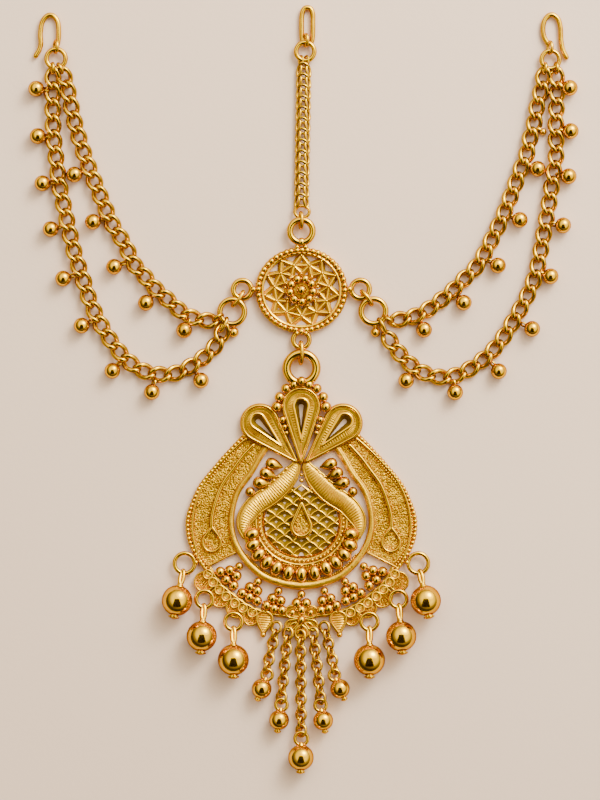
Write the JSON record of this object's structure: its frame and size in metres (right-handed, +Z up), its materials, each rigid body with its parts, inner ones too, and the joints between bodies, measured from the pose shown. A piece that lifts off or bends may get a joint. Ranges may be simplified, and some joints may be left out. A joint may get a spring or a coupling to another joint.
{
  "type": "matha patti",
  "caption": "Gold head ornament lying flat: hooks, side chains with beads and a woven centre chain meet at a pierced medallion, which carries a filigree pendant with ball drops and a tassel.",
  "frame": {"origin": "middle of the ornament's outline, on the surface it lies on", "axes": "+Y from the tassel up to the hooks, +X to the right as seen from above, +Z up out of the surface"},
  "size_m": [0.1662, 0.229, 0.009],
  "materials": {
    "matte_gold": "satin gold relief with fine hatching and polished wires",
    "polished_gold": "polished yellow gold",
    "chain_gold": "polished yellow gold wire"
  },
  "bodies": {
    "root": {"hook_left": "polished_gold", "hook_centre": "polished_gold", "hook_right": "polished_gold", "hook_ring_left": "polished_gold", "hook_ring_centre": "polished_gold", "hook_ring_right": "polished_gold", "outer_chain_left": "chain_gold", "outer_chain_right": "chain_gold", "inner_chain_left": "chain_gold", "inner_chain_right": "chain_gold", "centre_chain": "chain_gold", "jump_loop": "polished_gold", "medallion_link": "polished_gold", "medallion": "polished_gold", "side_ring_left": "polished_gold", "side_ring_right": "polished_gold", "side_link_left": "polished_gold", "side_link_right": "polished_gold", "pendant_link": "polished_gold", "pendant": "matte_gold", "drop_left_1": "polished_gold", "drop_left_2": "polished_gold", "drop_left_3": "polished_gold", "drop_right_1": "polished_gold", "drop_right_2": "polished_gold", "drop_right_3": "polished_gold", "tassel_chain_1": "chain_gold", "tassel_chain_2": "chain_gold", "tassel_chain_3": "chain_gold", "tassel_chain_4": "chain_gold", "tassel_chain_5": "chain_gold", "tassel_ball_1": "polished_gold", "tassel_ball_2": "polished_gold", "tassel_ball_3": "polished_gold", "tassel_ball_4": "polished_gold", "tassel_ball_5": "polished_gold"}
  },
  "joints": []
}
